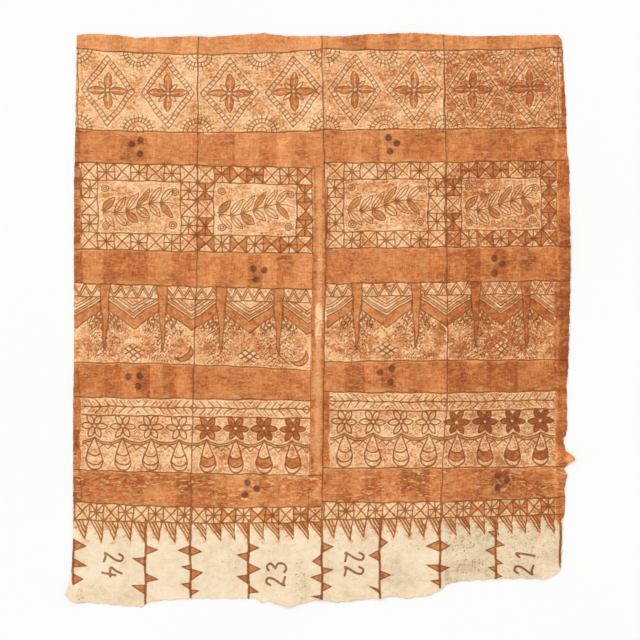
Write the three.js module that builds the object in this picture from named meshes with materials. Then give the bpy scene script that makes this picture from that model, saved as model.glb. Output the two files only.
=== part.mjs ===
// Tapa bark cloth, lying face up: one felted sheet of beaten bark with torn, uneven edges,
// the soft ridges of its old storage folds, and a few lifted places along its rim.
// Millimetres, +Z up. X runs along the cloth's printed sections, Y up the cloth.
// The origin is the middle of the outline, on the surface that the cloth lies on.
import * as THREE from "three";

// Driving dimensions
const SECTION_WIDTH = 502.5; // one printed section, as wide as the board it was rubbed on
const SECTIONS = 4;
const CLOTH_HEIGHT = 2314; // from the mean lower edge to the mean upper edge
const CLOTH_THICKNESS = 1.2; // two pasted layers of beaten bark
const RIM_RISE = 1.2; // how far the rim stands off the surface, outside the part that lies flat
const RIM_SLOPE = 40; // the breadth over which the sheet leaves the surface
const ROW_PITCH = 96; // the widest gap between two rows of points
const COLUMN_PITCH = 105; // the widest gap between two columns of points
const LEAST_GAP = 9; // rows or columns nearer than this become one

// How far into the sheet each edge's unevenness is felt. Inside that, the sheet lies flat.
// The lower edge is torn back the furthest.
const EDGE_REACH = { top: 140, lower: 300, left: 140, right: 140 };

// How far each edge stands out from the plain rectangle, from one end of the edge to the other.
// "at" is measured along the edge from the rectangle's middle.
const TOP_EDGE = [
  { at: -1005, out: 2 },
  { at: -940, out: 8 },
  { at: -830, out: 2 },
  { at: -760, out: -10 },
  { at: -530, out: -2 },
  { at: -465, out: -6 },
  { at: -236, out: 10 },
  { at: -140, out: -2 },
  { at: 92, out: -3 },
  { at: 190, out: 6 },
  { at: 387, out: 10 },
  { at: 617, out: -3 },
  { at: 863, out: 2 },
  { at: 1005, out: 3 },
];
const LOWER_EDGE = [
  { at: -1005, out: 8 },
  { at: -930, out: 9 },
  { at: -850, out: 18 },
  { at: -737, out: 27 },
  { at: -694, out: 4 },
  { at: -530, out: -8 },
  { at: -272, out: -8 },
  { at: -240, out: 11 },
  { at: -216, out: 3 },
  { at: -140, out: 27 },
  { at: -40, out: 4 },
  { at: 0, out: -4 },
  { at: 70, out: 10 },
  { at: 190, out: -4 },
  { at: 300, out: -16 },
  { at: 346, out: -7 },
  { at: 450, out: -20 },
  { at: 482, out: -44 },
  { at: 535, out: -73 },
  { at: 600, out: -80 },
  { at: 740, out: -88 },
  { at: 925, out: -90 },
  { at: 1005, out: -122 },
];
const LEFT_EDGE = [
  { at: -1157, out: 16 },
  { at: -1130, out: 43 },
  { at: -1086, out: 24 },
  { at: -1034, out: 17 },
  { at: -900, out: 10 },
  { at: -340, out: 10 },
  { at: -170, out: 6 },
  { at: 550, out: 6 },
  { at: 800, out: 0 },
  { at: 1157, out: -5 },
];
const RIGHT_EDGE = [
  { at: -1157, out: -24 },
  { at: -1042, out: -20 },
  { at: -838, out: -14 },
  { at: -775, out: -4 },
  { at: -689, out: -6 },
  { at: -664, out: -2 },
  { at: -647, out: 8 },
  { at: -617, out: -12 },
  { at: -598, out: 7 },
  { at: -583, out: 35 },
  { at: -573, out: 36 },
  { at: -543, out: -4 },
  { at: -525, out: -4 },
  { at: -498, out: -18 },
  { at: -483, out: -2 },
  { at: -456, out: 4 },
  { at: -251, out: 2 },
  { at: -221, out: 8 },
  { at: 114, out: 17 },
  { at: 294, out: 17 },
  { at: 634, out: 12 },
  { at: 684, out: 2 },
  { at: 844, out: 0 },
  { at: 994, out: -10 },
  { at: 1131, out: -16 },
  { at: 1157, out: -33 },
];

// The ridges of the storage folds, from the lower edge to the upper one. A ridge's height
// swells and sinks along it by "uneven" of its rise, once in every "wave".
const FOLDS = [
  { foot: -531, head: -501, rise: 6.5, halfWidth: 62, uneven: 0.45, wave: 940, phase: 0.4 },
  { foot: 8, head: 8, rise: 8, halfWidth: 78, uneven: 0.4, wave: 1270, phase: 1.9 },
  { foot: 488, head: 506, rise: 5.5, halfWidth: 60, uneven: 0.5, wave: 820, phase: 3.1 },
];
const FOLD_STEPS = [-1, -0.5, 0, 0.5, 1]; // columns across each ridge, in half widths

// Places along the rim that don't lie down. "reach" is the half length along the edge and
// "depth" how far the lift runs into the sheet.
const RIM_LIFTS = [
  { edge: "top", at: -760, rise: 5, reach: 150, depth: 130 },
  { edge: "top", at: 387, rise: 6, reach: 190, depth: 130 },
  { edge: "right", at: 294, rise: 6, reach: 260, depth: 130 },
  { edge: "right", at: -576, rise: 9, reach: 70, depth: 110 },
  { edge: "left", at: -1130, rise: 11, reach: 95, depth: 120 },
  { edge: "left", at: 300, rise: 4, reach: 280, depth: 130 },
  { edge: "lower", at: -140, rise: 7, reach: 120, depth: 150 },
  { edge: "lower", at: 250, rise: 6, reach: 80, depth: 190 },
  { edge: "lower", at: 925, rise: 6, reach: 140, depth: 150 },
];

const BARK_CLOTH = { color: 0xc17a45, roughness: 0.9, metalness: 0 };

// Small helpers
const halfWide = (SECTIONS * SECTION_WIDTH) / 2;
const halfHigh = CLOTH_HEIGHT / 2;
const furthest = (edge) => Math.max(...edge.map((row) => row.out));
const lerp = THREE.MathUtils.lerp;

// The edge's unevenness at a place along it, straight between the rows of its table.
function outAt(edge, place) {
  const next = edge.findIndex((row) => row.at >= place);
  if (next === 0) return edge[0].out;
  if (next === -1) return edge[edge.length - 1].out;
  const [a, b] = [edge[next - 1], edge[next]];
  return lerp(a.out, b.out, (place - a.at) / (b.at - a.at));
}

// 1 on an edge, easing to 0 at "reach" into the sheet.
function fade(distance, reach) {
  const t = THREE.MathUtils.clamp(1 - distance / reach, 0, 1);
  return t * t;
}

// A point of the plain rectangle, carried to its place on the torn sheet.
function onTornSheet(x, y) {
  const tornY =
    y +
    outAt(TOP_EDGE, x) * fade(halfHigh - y, EDGE_REACH.top) -
    outAt(LOWER_EDGE, x) * fade(y + halfHigh, EDGE_REACH.lower);
  const tornX =
    x +
    outAt(RIGHT_EDGE, y) * fade(halfWide - x, EDGE_REACH.right) -
    outAt(LEFT_EDGE, y) * fade(x + halfWide, EDGE_REACH.left);
  return new THREE.Vector2(tornX, tornY);
}

// The height of one fold's ridge: a crease at its crest, falling in a hollow curve to flat.
function ridgeHeight(fold, x, y) {
  const along = (y + halfHigh) / CLOTH_HEIGHT;
  const across = Math.abs(x - lerp(fold.foot, fold.head, along)) / fold.halfWidth;
  const swell = 1 + fold.uneven * Math.sin((2 * Math.PI * y) / fold.wave + fold.phase);
  return fold.rise * swell * fade(across, 1);
}

// How far a point of the plain rectangle lies from each edge.
function distancesIn(x, y) {
  return { top: halfHigh - y, lower: y + halfHigh, left: x + halfWide, right: halfWide - x };
}

// The height of the rim, which stands a little off the surface all round the flat part.
function rimHeight(x, y) {
  const inwards = distancesIn(x, y);
  const pastFlat = Object.keys(inwards).map((edge) => EDGE_REACH[edge] - inwards[edge]);
  return RIM_RISE * THREE.MathUtils.clamp(Math.max(...pastFlat) / RIM_SLOPE, 0, 1);
}

// The height of one lifted place on the rim.
function liftHeight(lift, x, y) {
  const inwards = distancesIn(x, y)[lift.edge];
  const along = lift.edge === "top" || lift.edge === "lower" ? x : y;
  const share = THREE.MathUtils.clamp(1 - Math.abs(along - lift.at) / lift.reach, 0, 1);
  return lift.rise * THREE.MathUtils.smoothstep(share, 0, 1) * fade(inwards, lift.depth);
}

// The underside's height above the surface, where the tallest form wins.
function restHeight(x, y) {
  const ridges = FOLDS.map((fold) => ridgeHeight(fold, x, y));
  const lifts = RIM_LIFTS.map((lift) => liftHeight(lift, x, y));
  return Math.max(rimHeight(x, y), ...ridges, ...lifts);
}

// Sorted places from one end to the other: the wanted ones, and more where two lie far apart.
function places(wanted, low, high, pitch) {
  const inside = wanted.filter((p) => p > low + LEAST_GAP && p < high - LEAST_GAP).sort((a, b) => a - b);
  const apart = [low];
  for (const place of inside) {
    if (place - apart[apart.length - 1] >= LEAST_GAP) apart.push(place);
  }
  apart.push(high);
  const filled = [low];
  for (let i = 1; i < apart.length; i++) {
    const steps = Math.ceil((apart[i] - apart[i - 1]) / pitch);
    for (let k = 1; k <= steps; k++) filled.push(lerp(apart[i - 1], apart[i], k / steps));
  }
  return filled;
}

// The sheet as one closed solid: its face, its underside and the thin wall round its rim.
function sheetGeometry() {
  const foldColumns = FOLDS.flatMap((fold) => {
    const middle = (fold.foot + fold.head) / 2;
    return FOLD_STEPS.map((step) => middle + step * fold.halfWidth);
  });
  const tears = LOWER_EDGE.map((row) => row.at).filter((at) =>
    foldColumns.every((column) => Math.abs(column - at) > 2 * LEAST_GAP),
  );
  const flatSides = [EDGE_REACH.left - halfWide, halfWide - EDGE_REACH.right];
  const flatEnds = [EDGE_REACH.lower - halfHigh, halfHigh - EDGE_REACH.top];
  const sideTears = [...LEFT_EDGE, ...RIGHT_EDGE].map((row) => row.at);
  const columns = places([...foldColumns, ...tears, ...flatSides], -halfWide, halfWide, COLUMN_PITCH);
  const rows = places([...sideTears, ...flatEnds], -halfHigh, halfHigh, ROW_PITCH);

  // The outline's middle goes to the origin.
  const shiftX = (furthest(LEFT_EDGE) - furthest(RIGHT_EDGE)) / 2;
  const shiftY = (furthest(LOWER_EDGE) - furthest(TOP_EDGE)) / 2;

  const face = [];
  const underside = [];
  for (const y of rows) {
    for (const x of columns) {
      const torn = onTornSheet(x, y);
      const rest = restHeight(x, y);
      face.push(torn.x + shiftX, torn.y + shiftY, rest + CLOTH_THICKNESS);
      underside.push(torn.x + shiftX, torn.y + shiftY, rest);
    }
  }

  const wide = columns.length;
  const below = wide * rows.length; // the first point of the underside
  const triangles = [];
  for (let r = 0; r + 1 < rows.length; r++) {
    for (let c = 0; c + 1 < wide; c++) {
      const a = r * wide + c;
      const [b, d, e] = [a + 1, a + wide, a + wide + 1];
      triangles.push(a, b, e, a, e, d);
      triangles.push(below + a, below + e, below + b, below + a, below + d, below + e);
    }
  }
  const rim = [];
  for (let c = 0; c + 1 < wide; c++) rim.push(c);
  for (let r = 0; r + 1 < rows.length; r++) rim.push(r * wide + wide - 1);
  for (let c = wide - 1; c > 0; c--) rim.push((rows.length - 1) * wide + c);
  for (let r = rows.length - 1; r > 0; r--) rim.push(r * wide);
  rim.forEach((from, i) => {
    const to = rim[(i + 1) % rim.length];
    triangles.push(from, below + from, below + to, from, below + to, to);
  });

  const geometry = new THREE.BufferGeometry();
  geometry.setAttribute("position", new THREE.Float32BufferAttribute([...face, ...underside], 3));
  geometry.setIndex(triangles);
  geometry.computeVertexNormals();
  return geometry;
}

function barkCloth() {
  const mesh = new THREE.Mesh(sheetGeometry(), new THREE.MeshStandardMaterial(BARK_CLOTH));
  mesh.name = "bark_cloth";
  return mesh;
}

const tapa = new THREE.Group();
tapa.add(barkCloth());

export default tapa;
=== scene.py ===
# %% [markdown]
# # A painted bark cloth, laid out flat
# The object is one large sheet of beaten bark, about 2.1 m by 2.35 m, felted from two layers and
# lying face up on a pale floor. One face is rubbed over pattern tablets with brown dye, so rows of
# drawn motifs alternate with plain dyed bands, and the last hand's breadth of the sheet stays undyed.
# The drawing is worked out in millimetres on the cloth, as distances to strokes and patches, and
# stored on the points of a fine mesh. The dye itself, with all its wear, is then a node material.

# %% Load the frame
import functools
import math
from types import SimpleNamespace

import bpy
import numpy as np
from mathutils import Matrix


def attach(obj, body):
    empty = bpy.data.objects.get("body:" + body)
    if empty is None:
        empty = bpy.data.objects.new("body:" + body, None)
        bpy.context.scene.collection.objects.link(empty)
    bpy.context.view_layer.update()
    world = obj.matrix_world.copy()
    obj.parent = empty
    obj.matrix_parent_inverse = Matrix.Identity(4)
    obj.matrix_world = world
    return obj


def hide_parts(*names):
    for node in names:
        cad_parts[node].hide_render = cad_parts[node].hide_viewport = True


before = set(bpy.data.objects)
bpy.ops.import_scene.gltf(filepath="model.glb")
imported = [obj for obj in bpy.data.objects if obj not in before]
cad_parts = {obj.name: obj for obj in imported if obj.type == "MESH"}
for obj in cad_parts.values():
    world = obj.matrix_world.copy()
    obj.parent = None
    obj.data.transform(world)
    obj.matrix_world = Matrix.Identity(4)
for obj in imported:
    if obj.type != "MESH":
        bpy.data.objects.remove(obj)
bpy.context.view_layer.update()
MM = 0.001

# %% [markdown]
# ## Camera, floor and light
# The cloth is seen face on, so the camera looks straight down on it. A long lens keeps the edges of
# the sheet from spreading. The floor is near white and the light comes from the whole sky with only
# a weak, broad sun beside it: folds show softly, and a colour on the cloth reads almost as it is.

# %% Camera
PICTURE_WIDE = 2624.0  # millimetres of floor across the square picture
LENS = 85.0
SENSOR = 36.0

scene = bpy.context.scene
scene.view_settings.view_transform = "Standard"

eye = bpy.data.cameras.new("straight_above")
eye.lens = LENS
eye.sensor_width = SENSOR
camera = bpy.data.objects.new("straight_above", eye)
camera.location = (0.0, 0.0, PICTURE_WIDE * MM * LENS / SENSOR)
scene.collection.objects.link(camera)
scene.camera = camera
print("camera height in metres:", round(camera.location.z, 3))

# %% Colours and nodes
def linear(hexa):
    """An sRGB hex colour as linear red, green, blue and alpha: each channel's display curve undone."""
    srgb = np.array([int(hexa[i : i + 2], 16) for i in (0, 2, 4)]) / 255.0
    bent = np.where(srgb <= 0.04045, srgb / 12.92, ((srgb + 0.055) / 1.055) ** 2.4)
    return (*bent.tolist(), 1.0)


def add(tree, kind, inputs=None, **settings):
    """One node with its settings by name. An input that is a socket is linked, another is its value."""
    made = tree.nodes.new(kind)
    for name, value in settings.items():
        setattr(made, name, value)
    for name, value in (inputs or {}).items():
        if isinstance(value, bpy.types.NodeSocket):
            tree.links.new(value, made.inputs[name])
        else:
            made.inputs[name].default_value = value
    return made


def blank_material(name):
    """A material with an empty node tree, and that tree."""
    material = bpy.data.materials.new(name)
    material.use_nodes = True
    material.node_tree.nodes.clear()
    return material, material.node_tree


print("mid grey in linear light:", round(linear("808080")[0], 3))

# %% Floor and light
FLOOR_HALF = 9.0  # metres
floor_mesh = bpy.data.meshes.new("floor")
corners = [(sx * FLOOR_HALF, sy * FLOOR_HALF, -MM) for sx, sy in ((-1, -1), (1, -1), (1, 1), (-1, 1))]
floor_mesh.from_pydata(corners, [], [(0, 1, 2, 3)])
floor = bpy.data.objects.new("floor", floor_mesh)
scene.collection.objects.link(floor)

# Matt white board: a faint cloudiness keeps it from being one dead colour.
board, tree = blank_material("matt_white_board")
place = add(tree, "ShaderNodeTexCoord").outputs["Object"]
cloud = add(tree, "ShaderNodeTexNoise", {"Vector": place, "Scale": 0.7, "Detail": 2.0}).outputs["Fac"]
white = add(
    tree, "ShaderNodeMix", {0: cloud, 6: linear("F7F7F6"), 7: linear("FAFAFA")}, data_type="RGBA"
).outputs[2]
shader = add(tree, "ShaderNodeBsdfPrincipled", {"Base Color": white, "Roughness": 0.9})
add(tree, "ShaderNodeOutputMaterial", {"Surface": shader.outputs[0]})
floor_mesh.materials.append(board)

sky = bpy.data.worlds.new("even_sky")
sky.use_nodes = True
sky.node_tree.nodes["Background"].inputs["Color"].default_value = (1.0, 1.0, 1.0, 1.0)
sky.node_tree.nodes["Background"].inputs["Strength"].default_value = 0.84
scene.world = sky

sun = bpy.data.lights.new("broad_sun", "SUN")
sun.energy = 0.85
sun.angle = math.radians(40)
lamp = bpy.data.objects.new("broad_sun", sun)
lamp.rotation_euler = (math.radians(-32), math.radians(-30), 0.0)
scene.collection.objects.link(lamp)
print("floor across in metres:", 2 * FLOOR_HALF, "and nodes in the board:", len(tree.nodes))

# %% [markdown]
# ## The torn sheet
# Bark cloth has no cut edge: it ends where the beaten strips end, so each edge wanders. A plain
# rectangle is carried onto the torn outline. Four short tables say how far each edge stands out, and
# the shift fades towards the middle. Old storage folds leave three soft ridges, and a few places on
# the rim don't lie down. These are the same sizes as the solid's, with a finer raggedness on top.

# %% Outline and folds, in millimetres
HALF_WIDE = 1005.0
HALF_HIGH = 1157.0
THICK = 1.2
RIM_RISE = 1.2
RIM_SLOPE = 40.0
REACH = {"top": 140.0, "lower": 300.0, "left": 140.0, "right": 140.0}

# Columns: place along the edge, how far the edge stands out there.
TOP_EDGE = np.array([
    (-1005, 2), (-940, 8), (-830, 2), (-760, -10), (-530, -2), (-465, -6), (-236, 10), (-140, -2),
    (92, -3), (190, 6), (387, 10), (617, -3), (863, 2), (1005, 3),
])
LOWER_EDGE = np.array([
    (-1005, 8), (-930, 9), (-850, 18), (-737, 27), (-694, 4), (-530, -8), (-272, -8), (-240, 11),
    (-216, 3), (-140, 27), (-40, 4), (0, -4), (70, 10), (190, -4), (300, -16), (346, -7), (450, -20),
    (482, -44), (535, -73), (600, -80), (740, -88), (925, -90), (1005, -122),
])
LEFT_EDGE = np.array([
    (-1157, 16), (-1130, 43), (-1086, 24), (-1034, 17), (-900, 10), (-340, 10), (-170, 6), (550, 6),
    (800, 0), (1157, -5),
])
RIGHT_EDGE = np.array([
    (-1157, -24), (-1042, -20), (-838, -14), (-775, -4), (-689, -6), (-664, -2), (-647, 8),
    (-617, -12), (-598, 7), (-583, 35), (-573, 36), (-543, -4), (-525, -4), (-498, -18), (-483, -2),
    (-456, 4), (-251, 2), (-221, 8), (114, 17), (294, 17), (634, 12), (684, 2), (844, 0), (994, -10),
    (1131, -16), (1157, -33),
])
SHIFT_X = (LEFT_EDGE[:, 1].max() - RIGHT_EDGE[:, 1].max()) / 2
SHIFT_Y = (LOWER_EDGE[:, 1].max() - TOP_EDGE[:, 1].max()) / 2

# Columns: foot, head, rise, half width, unevenness, wave, phase.
FOLDS = [
    (-531, -501, 6.5, 62, 0.45, 940, 0.4),
    (8, 8, 8.0, 78, 0.4, 1270, 1.9),
    (488, 506, 5.5, 60, 0.5, 820, 3.1),
]
# Columns: edge, place along it, rise, half length, depth into the sheet.
RIM_LIFTS = [
    ("top", -760, 5, 150, 130), ("top", 387, 6, 190, 130), ("right", 294, 6, 260, 130),
    ("right", -576, 9, 70, 110), ("left", -1130, 11, 95, 120), ("left", 300, 4, 280, 130),
    ("lower", -140, 7, 120, 150), ("lower", 250, 6, 80, 190), ("lower", 925, 6, 140, 150),
]
print("folds:", len(FOLDS), "and lifted places on the rim:", len(RIM_LIFTS))

# %% Carrying a rectangle onto the torn sheet
def fade(distance, reach):
    """1 on an edge, falling to 0 at reach, as the square of what is left of the way."""
    return np.clip(1 - distance / reach, 0, 1) ** 2


def ragged(place, size, phase):
    """The fine tearing of an edge: three waves of 15 to 60 mm that never repeat together."""
    waves = np.sin(place / 9.7 + phase) + np.sin(place / 4.1 + 2.3 * phase) * 0.5
    return size * (waves + 0.7 * np.sin(place / 2.4 + 4.1 * phase + 1.6 * np.sin(place / 21.0)))


def out_at(edge, place, size, phase):
    """How far a torn edge stands out: straight between the table's rows, plus the fine tearing."""
    return np.interp(place, edge[:, 0], edge[:, 1]) + ragged(place, size, phase)


def torn(x, y):
    """Points of the plain rectangle carried to the torn sheet: each edge's shift, fading inwards."""
    torn_y = y + out_at(TOP_EDGE, x, 0.8, 0.3) * fade(HALF_HIGH - y, REACH["top"])
    torn_y -= out_at(LOWER_EDGE, x, 1.5, 1.9) * fade(y + HALF_HIGH, REACH["lower"])
    torn_x = x + out_at(RIGHT_EDGE, y, 1.2, 2.7) * fade(HALF_WIDE - x, REACH["right"])
    torn_x -= out_at(LEFT_EDGE, y, 0.7, 0.9) * fade(x + HALF_WIDE, REACH["left"])
    return torn_x + SHIFT_X, torn_y + SHIFT_Y


def smooth(t):
    """0 to 1 with level ends."""
    t = np.clip(t, 0, 1)
    return t * t * (3 - 2 * t)


def fold_line(fold, y):
    """Where a fold runs, straight from its foot to its head."""
    foot, head = fold[:2]
    return foot + (head - foot) * (y + HALF_HIGH) / (2 * HALF_HIGH)


def rest_height(x, y):
    """Height of the underside: the tallest of the rim, the fold ridges and the lifted places."""
    inwards = {"top": HALF_HIGH - y, "lower": y + HALF_HIGH, "left": x + HALF_WIDE, "right": HALF_WIDE - x}
    past_flat = np.max([REACH[edge] - inwards[edge] for edge in REACH], axis=0)
    height = RIM_RISE * smooth(past_flat / RIM_SLOPE)
    for fold in FOLDS:
        rise, half, uneven, wave, phase = fold[2:]
        swell = 1 + uneven * np.sin(2 * np.pi * y / wave + phase)
        height = np.maximum(height, rise * swell * fade(abs(x - fold_line(fold, y)), half))
    for edge, at, rise, reach, depth in RIM_LIFTS:
        along = x if edge in ("top", "lower") else y
        lift = rise * smooth(1 - abs(along - at) / reach) * fade(inwards[edge], depth)
        height = np.maximum(height, lift)
    return height


print("outline shifted by", SHIFT_X, "and", SHIFT_Y, "mm to centre it")

# %% [markdown]
# ## Drawing with distances
# A stroke on cloth could be a curve object or a texture. Here it is a distance: for every point of
# the mesh, how many millimetres it lies from the nearest stroke's edge, below zero inside. Distances
# change evenly between points, so the material can cut a crisp edge between them, and roughen it.

# %% Choosing, repeating and shuffling
FAR = 60.0  # millimetres, beyond which a distance no longer matters
DIAGONAL = 0.7071  # how much a step along a diagonal moves along each axis


def only(mask, distance):
    """The distance where the mask is true, and too far to matter elsewhere."""
    return np.where(mask, distance, FAR)


def least(*distances):
    """The least of several distances, point by point."""
    return functools.reduce(np.minimum, distances)


def comb(value, pitch):
    """Distance to the nearest of evenly spaced lines, of which the first lies half a pitch along."""
    return abs(np.mod(value, pitch) - pitch / 2)


def cells(value, pitch):
    """The number of the cell that each point lies in, and how far it is past that cell's middle."""
    number = np.floor(value / pitch)
    return number, value - (number + 0.5) * pitch


def shuffled(number):
    """A fixed shuffle of numbers into 0 to 1: what is left of a large sine past its whole part."""
    return np.mod(np.sin(number) * 43758.5, 1)


def bell(value, half):
    """1 in the middle and less on both sides, as a bell curve of the given half breadth."""
    return np.exp(-((value / half) ** 2))


def oval(x, y, cx, cy, breadth, height):
    """How far out a point lies in an oval: 0 in its middle, 1 on its rim."""
    return np.hypot((x - cx) / breadth, (y - cy) / height)


def patched(value, x, y, patches):
    """A value with soft oval patches added, each full near its middle and gone at 1.3 times its rim."""
    for *place, more in patches:
        value = value + more * smooth(1.3 - oval(x, y, *place))
    return value


print("lines 10 mm apart are at most", comb(0.0, 10), "mm away")

# %% Distances to strokes and patches
def turned(x, y, cx, cy, angle):
    """Coordinates as seen from a point, with the first axis turned by the angle in radians."""
    c, s = math.cos(angle), math.sin(angle)
    return (x - cx) * c + (y - cy) * s, (y - cy) * c - (x - cx) * s


def to_chain(x, y, points):
    """Distance to a chain of straight strokes: the least over its pieces, each held to its two ends."""
    away = np.inf
    for (ax, ay), (bx, by) in zip(points, points[1:]):
        dx, dy = bx - ax, by - ay
        t = np.clip(((x - ax) * dx + (y - ay) * dy) / (dx * dx + dy * dy), 0, 1)
        away = np.minimum(away, np.hypot(x - ax - t * dx, y - ay - t * dy))
    return away


def in_convex(x, y, corners):
    """Signed distance to a convex patch, corners anticlockwise: the furthest past any of its sides."""
    most = -np.inf
    for (ax, ay), (bx, by) in zip(corners, corners[1:] + corners[:1]):
        length = math.hypot(bx - ax, by - ay)
        most = np.maximum(most, ((x - ax) * (by - ay) - (y - ay) * (bx - ax)) / length)
    return most


def in_leaf(x, y, length, breadth):
    """Signed distance to a pointed leaf along x: what two equal discs share."""
    radius = (length**2 + breadth**2) / (4 * breadth)
    return np.hypot(x, abs(y) + radius - breadth / 2) - radius


def in_drop(x, y, long, radius):
    """Signed distance, near enough, to a drop with its point at the origin: flanks over half an oval."""
    widest = 0.73 * long
    flank = radius * (1 - np.clip(1 - y / widest, 0, 1) ** 1.4)
    side = (abs(x) - flank) * 0.92
    foot = (oval(x, y, 0, widest, radius, long - widest) - 1) * radius
    return np.where(y < 0, np.hypot(x, y), np.where(y > widest, foot, side))


def wobble(a, b, reach):
    """The unsteadiness of a hand-laid line: slow waves that cross each other."""
    slow = np.sin(a / 23 + 1.7 * np.sin(b / 61)) + 0.6 * np.sin(b / 17 + a / 53)
    return reach * (slow + 0.35 * np.sin(a / 6.3 + 2.1 * np.sin(b / 29)))


print("a 60 mm leaf is", -2 * float(in_leaf(np.array(0.0), np.array(0.0), 60, 24)), "mm broad")

# %% [markdown]
# ## Where the rows run
# The sheet was rubbed over the same set of tablets twice, side by side, so the left half and the
# right half carry the same rows, but each was laid a little askew. Every row's head and foot is
# therefore a shallow curve of its own in each half, through three heights.

# %% Rows, halves and bands
HALVES = ((-998.0, -519.0, -39.0), (18.0, 486.0, 957.0))  # left, right: x of the three heights
SECTION = 462.0  # the tablet's first section ends here, and its second at twice that

# Where each row's pattern came to lie in each half: pairs of x on the cloth and place along the tablet.
LAID = {
    "leaf": (
        ((-998, -5), (-501, 462), (24, 924)),
        ((22, 0), (508, 462), (990, 938)),
    ),
    "frame": (
        ((-979, 0), (-503, 462), (-27, 924)),
        ((28, 0), (513, 462), (972, 924)),
    ),
    "post": (
        ((-1010, -33), (-882, 95), (-646, 332), (-405, 569), (-170, 806), (-36, 941)),
        ((28, -28), (151, 95), (394, 332), (640, 569), (845, 806), (960, 928)),
    ),
    "flower": (
        ((-978, -1), (-113, 864), (-42, 935)),
        ((38, -11), (101, 52), (905, 864), (964, 923)),
    ),
    "tooth": (
        ((-1012, -6), (-524, 462), (-48, 924), (12, 982)),
        ((14, 0), (502, 462), (964, 924)),
    ),
}

# A row's head or foot: its heights at the left half's three places, then at the right half's.
ROW_LINES = {
    "leaf head": ((1113, 1089, 1105), (1111, 1105, 1115)),
    "leaf foot": ((783, 769, 775), (779, 783, 787)),
    "frame head": ((646, 634, 623), (644, 647, 654)),
    "frame foot": ((292, 280, 273), (293, 298, 303)),
    "post head": ((152, 137, 127), (148, 155, 160)),
    "post foot": ((-174, -184, -207), (-172, -166, -164)),
    "flower head": ((-316, -323, -329), (-293, -298, -289)),
    "flower foot": ((-615, -628, -637), (-607, -606, -601)),
    "tooth head": ((-746, -767, -765), (-746, -745, -728)),
    "tooth foot": ((-818, -832, -828), (-818, -810, -797)),
}


def row_line(name, half, x):
    """The height of a row's head or foot at x: the parabola through its three heights."""
    a, b, c = HALVES[half]
    ha, hb, hc = ROW_LINES[name][half]
    one = ha * (x - b) * (x - c) / ((a - b) * (a - c))
    two = hb * (x - a) * (x - c) / ((b - a) * (b - c))
    return one + two + hc * (x - a) * (x - b) / ((c - a) * (c - b))


def in_row(name, height, half, x, y):
    """Tablet coordinates, along the tablet and down from the row's head, and which points lie on it."""
    head = row_line(name + " head", half, x)
    foot = row_line(name + " foot", half, x)
    down = (head - y) * height / (head - foot)
    laid = np.array(LAID[name][half])
    along = np.interp(x, laid[:, 0], laid[:, 1])
    on_tablet = (x > laid[0, 0]) & (x < laid[-1, 0])
    return along + wobble(y, x, 1.9), down + wobble(x, y, 1.6), on_tablet


def inked(draw, height):
    """Shares of a row that lie under its strokes and under its solid patches, on a grid of 4 mm."""
    u, d = np.meshgrid(np.arange(0, 2 * SECTION, 4.0), np.arange(0, height, 4.0))
    return [round(float(np.mean(part < 0)), 2) for part in draw(u, d)[:2]]


print("rows:", list(LAID))

# %% [markdown]
# ## The leaf row
# The uppermost row is made of square panels. Each holds two large lozenges with a rosette of four
# solid leaves, and fans of arcs in the corners between them. A rosette is one leaf drawn once: the
# plane is folded so that every quarter lands on the same leaf.

# %% Leaf row
LEAF_ROW = 318.0
LADDER = (-9.0, -27.0)  # the two rails of a lozenge's border, inside its edge
RUNG = 17.0  # from one rung, or one arc of a fan, to the next
FAN = (37.0, 71.0)  # a fan's spokes start at the first radius and end with it at the second
STROKE = 2.8  # half the breadth of a printed line


def leaf_row(u, d):
    """Line and solid distances of the leaf row, and the heft of its dye: lozenges, rosettes, fans."""
    half_wide, half_high = SECTION / 4, LEAF_ROW / 2
    a = cells(u, 2 * half_wide)[1]
    b = d - half_high
    from_a, from_b = abs(a), abs(b)
    steep = half_high / half_wide
    slant = math.hypot(steep, 1)
    lozenge = (steep * from_a + from_b - half_high) / slant
    rungs = comb((from_b * steep - from_a) / slant, RUNG)
    p, q = np.maximum(from_a, from_b), np.minimum(from_a, from_b)
    petal = in_leaf(p - 42, q, 68, 30)
    between = in_leaf((p + q) * DIAGONAL - 30, (p - q) * DIAGONAL, 40, 13)
    sweep = np.hypot(half_wide - from_a, half_high - from_b)
    spokes = comb(np.arctan2(half_high - from_b, half_wide - from_a) + 0.13, math.pi / 12) * sweep
    fan = least(comb(sweep - 12, RUNG), only(sweep > FAN[0], spokes))
    line = least(
        abs(lozenge - LADDER[0]), abs(lozenge - LADDER[1]),
        only((lozenge < LADDER[0]) & (lozenge > LADDER[1]), rungs),
        abs(petal), abs(between), abs(np.hypot(a, b) - 8),
        only((sweep < FAN[1]) & (lozenge > -6), fan), comb(u + SECTION / 2, SECTION),
    )
    return line - 1.8, np.maximum(petal, 2.2 - q), 0.84


print("leaf row, shares under strokes and patches:", inked(leaf_row, LEAF_ROW))

# %% [markdown]
# ## The frame row
# A band of crossed squares runs round a picture in each section: a plain cross in one square, an
# eight-rayed one in the next. The picture is a leafy branch. Its leaves repeat along a stem, so one
# pair is drawn and the plane is cut into stations, each a leaf's pitch long.

# %% Crossed squares
FRAME_ROW = 357.0
FRAME_SIDE = 66.0
FRAME_STRIP = 70.0
BLEED = 2.0  # how far the dye of a quarter creeps past its lines


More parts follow.
